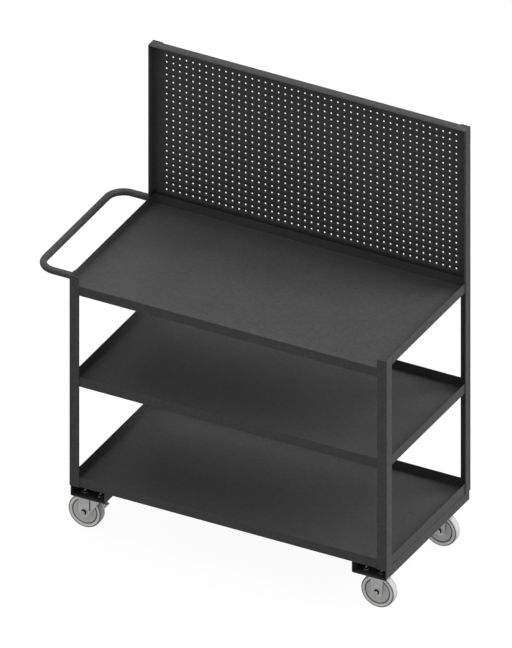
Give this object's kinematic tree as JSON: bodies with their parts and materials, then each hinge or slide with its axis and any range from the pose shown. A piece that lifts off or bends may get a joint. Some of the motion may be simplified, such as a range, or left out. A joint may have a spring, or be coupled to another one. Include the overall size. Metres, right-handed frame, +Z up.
{
  "type": "rolling utility cart",
  "caption": "Steel service cart with lipped shelf trays on corner posts, a perforated back panel, a tubular push handle, and braked swivel and rigid casters.",
  "frame": {"origin": "on the floor, under the middle of the whole cart with its push handle", "axes": "+X along the cart, away from the push handle; +Y from the open front to the back panel; +Z up"},
  "size_m": [1.3728, 0.616, 1.6431],
  "materials": {
    "charcoal_coat": "fine-textured satin powder coat",
    "zinc_plate": "bright zinc plating",
    "grey_polyolefin": "moulded",
    "grey_polyurethane": "smooth, non-marking"
  },
  "bodies": {
    "frame": {"axle_bolt_back_right": "zinc_plate", "axle_bolt_front_right": "zinc_plate", "axle_nut_back_right": "zinc_plate", "axle_nut_front_right": "zinc_plate", "axle_sleeve_back_right": "zinc_plate", "axle_sleeve_front_right": "zinc_plate", "bottom_tray": "charcoal_coat", "caster_channel_left": "charcoal_coat", "caster_channel_right": "charcoal_coat", "king_pin_back_left": "zinc_plate", "king_pin_front_left": "zinc_plate", "middle_tray": "charcoal_coat", "mount_bolt_back_left_1": "zinc_plate", "mount_bolt_back_left_2": "zinc_plate", "mount_bolt_back_left_3": "zinc_plate", "mount_bolt_back_left_4": "zinc_plate", "mount_bolt_back_right_1": "zinc_plate", "mount_bolt_back_right_2": "zinc_plate", "mount_bolt_back_right_3": "zinc_plate", "mount_bolt_back_right_4": "zinc_plate", "mount_bolt_front_left_1": "zinc_plate", "mount_bolt_front_left_2": "zinc_plate", "mount_bolt_front_left_3": "zinc_plate", "mount_bolt_front_left_4": "zinc_plate", "mount_bolt_front_right_1": "zinc_plate", "mount_bolt_front_right_2": "zinc_plate", "mount_bolt_front_right_3": "zinc_plate", "mount_bolt_front_right_4": "zinc_plate", "pegboard_panel": "charcoal_coat", "post_back_left": "charcoal_coat", "post_back_right": "charcoal_coat", "post_front_left": "charcoal_coat", "post_front_right": "charcoal_coat", "push_handle": "charcoal_coat", "rigid_fork_back_right": "zinc_plate", "rigid_fork_front_right": "zinc_plate", "swivel_plate_back_left": "zinc_plate", "swivel_plate_front_left": "zinc_plate", "top_tray": "charcoal_coat"},
    "swivel_front_left": {"swivel_race_front_left": "zinc_plate", "swivel_fork_front_left": "zinc_plate", "axle_sleeve_front_left": "zinc_plate", "axle_bolt_front_left": "zinc_plate", "axle_nut_front_left": "zinc_plate"},
    "brake_front_left": {"brake_pedal_front_left": "zinc_plate"},
    "wheel_front_left": {"wheel_core_front_left": "grey_polyolefin", "tyre_front_left": "grey_polyurethane"},
    "wheel_front_right": {"wheel_core_front_right": "grey_polyolefin", "tyre_front_right": "grey_polyurethane"},
    "swivel_back_left": {"swivel_race_back_left": "zinc_plate", "swivel_fork_back_left": "zinc_plate", "axle_sleeve_back_left": "zinc_plate", "axle_bolt_back_left": "zinc_plate", "axle_nut_back_left": "zinc_plate"},
    "brake_back_left": {"brake_pedal_back_left": "zinc_plate"},
    "wheel_back_left": {"wheel_core_back_left": "grey_polyolefin", "tyre_back_left": "grey_polyurethane"},
    "wheel_back_right": {"wheel_core_back_right": "grey_polyolefin", "tyre_back_right": "grey_polyurethane"}
  },
  "joints": [
    {"name": "swivel_turn_front_left", "type": "hinge", "parent": "frame", "child": "swivel_front_left", "pos_m": [-0.46897, -0.2283, 0.15402], "axis": [0, 0, 1], "continuous": true},
    {"name": "wheel_spin_front_left", "type": "hinge", "parent": "swivel_front_left", "child": "wheel_front_left", "pos_m": [-0.51341, -0.2283, 0.0635], "axis": [0, 1, 0], "continuous": true},
    {"name": "brake_press_front_left", "type": "hinge", "parent": "swivel_front_left", "child": "brake_front_left", "pos_m": [-0.4641, -0.2283, 0.11827], "axis": [0, 1, 0], "range_deg": [0, 13]},
    {"name": "wheel_spin_front_right", "type": "hinge", "parent": "frame", "child": "wheel_front_right", "pos_m": [0.61628, -0.2283, 0.0635], "axis": [0, 1, 0], "continuous": true},
    {"name": "swivel_turn_back_left", "type": "hinge", "parent": "frame", "child": "swivel_back_left", "pos_m": [-0.46897, 0.2283, 0.15402], "axis": [0, 0, 1], "continuous": true},
    {"name": "wheel_spin_back_left", "type": "hinge", "parent": "swivel_back_left", "child": "wheel_back_left", "pos_m": [-0.51341, 0.2283, 0.0635], "axis": [0, 1, 0], "continuous": true},
    {"name": "brake_press_back_left", "type": "hinge", "parent": "swivel_back_left", "child": "brake_back_left", "pos_m": [-0.4641, 0.2283, 0.11827], "axis": [0, 1, 0], "range_deg": [0, 13]},
    {"name": "wheel_spin_back_right", "type": "hinge", "parent": "frame", "child": "wheel_back_right", "pos_m": [0.61628, 0.2283, 0.0635], "axis": [0, 1, 0], "continuous": true}
  ]
}
